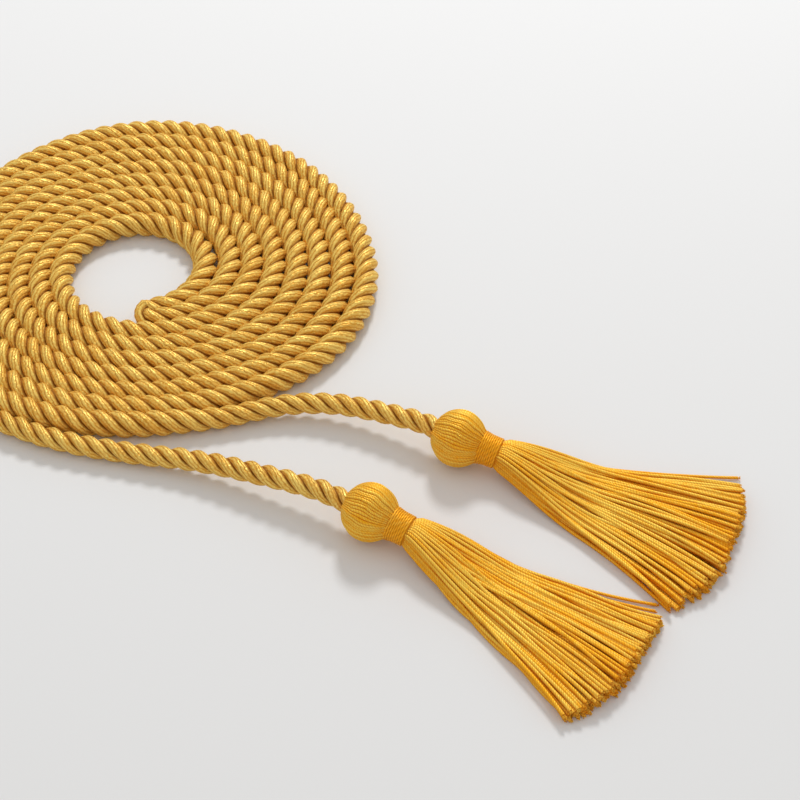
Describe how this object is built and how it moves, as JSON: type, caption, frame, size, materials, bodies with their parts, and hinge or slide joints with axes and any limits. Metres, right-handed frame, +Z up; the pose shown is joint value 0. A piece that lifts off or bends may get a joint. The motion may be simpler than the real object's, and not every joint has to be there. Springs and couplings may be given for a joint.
{
  "type": "honor cord",
  "caption": "Twisted golden rope wound in a flat coil around its middle, with a tassel of fine strands on each free end.",
  "frame": {"origin": "on the surface the cord lies on, below the middle of the whole outline", "axes": "+Z up from the surface; +X to the right along the longer side, from the coil towards the tassels; +Y away from the viewer of the picture"},
  "size_m": [0.1734, 0.1666, 0.0113],
  "materials": {
    "rope": "satin twisted cord of rayon or polyester, mustard gold, three plies with fine yarn lines along each ply",
    "tassel_yarn": "satin twisted yarn, orange gold",
    "binding_thread": "tightly wound thread, deeper orange gold"
  },
  "bodies": {
    "root": {"cord_coil": "rope", "cord_end_upper": "rope", "cord_end_lower": "rope", "head_upper": "tassel_yarn", "head_lower": "tassel_yarn", "neck_binding_upper": "binding_thread", "neck_binding_lower": "binding_thread", "skirt_upper": "tassel_yarn", "skirt_lower": "tassel_yarn"}
  },
  "joints": []
}
